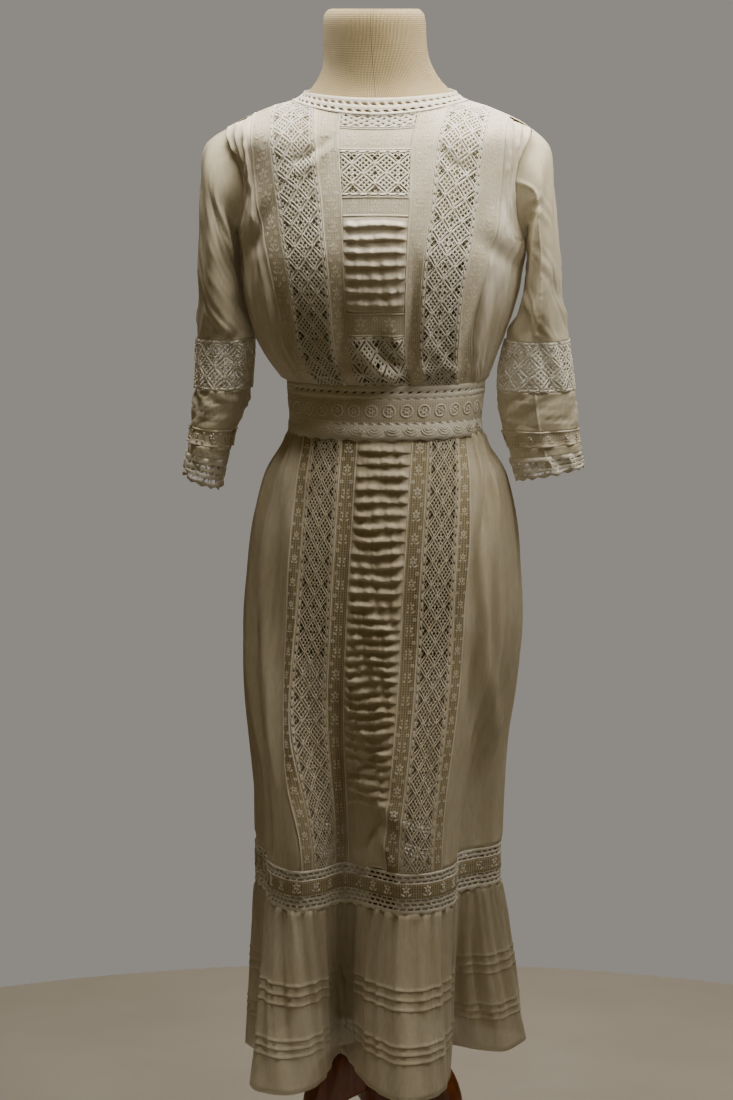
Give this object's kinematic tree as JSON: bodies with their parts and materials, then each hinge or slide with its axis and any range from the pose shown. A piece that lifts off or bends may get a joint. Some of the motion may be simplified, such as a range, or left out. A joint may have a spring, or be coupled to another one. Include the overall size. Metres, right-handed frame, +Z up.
{
  "type": "lawn dress on a limbless dress form",
  "caption": "Ankle-length white cotton lawn dress with lace insertions, tucks and a gathered flounce, worn on a limbless dress form with a wooden stand.",
  "frame": {"origin": "on the floor, under the middle of the dress form and its stand", "axes": "+Z up from the floor to the neck block; the front of the dress faces -Y; +X is to the right of someone who looks at the front"},
  "size_m": [0.471, 0.4506, 1.4735],
  "materials": {
    "cotton_lawn": "sheer plain weave, matt",
    "cotton_lace": "thread lace, matt",
    "ribbed_jersey": "fine rib knit, matt",
    "polished_wood": "dark polish"
  },
  "bodies": {
    "root": {"back_placket": "cotton_lawn", "bodice_back_left": "cotton_lawn", "bodice_back_right": "cotton_lawn", "bodice_front_left": "cotton_lawn", "bodice_front_right": "cotton_lawn", "bodice_insertion_left": "cotton_lace", "bodice_insertion_right": "cotton_lace", "bodice_panel": "cotton_lawn", "flounce": "cotton_lawn", "form_torso": "ribbed_jersey", "knee_band": "cotton_lace", "neckband": "cotton_lace", "skirt_insertion_left": "cotton_lace", "skirt_insertion_right": "cotton_lace", "skirt_panel": "cotton_lawn", "skirt_side_left": "cotton_lawn", "skirt_side_right": "cotton_lawn", "sleeve_lace_left": "cotton_lace", "sleeve_lace_right": "cotton_lace", "sleeve_lower_left": "cotton_lawn", "sleeve_lower_right": "cotton_lawn", "sleeve_upper_left": "cotton_lawn", "sleeve_upper_right": "cotton_lawn", "stand_leg_back": "polished_wood", "stand_leg_left": "polished_wood", "stand_leg_right": "polished_wood", "stand_pole": "polished_wood", "waistband_back": "cotton_lace", "waistband_front": "cotton_lace"}
  },
  "joints": []
}
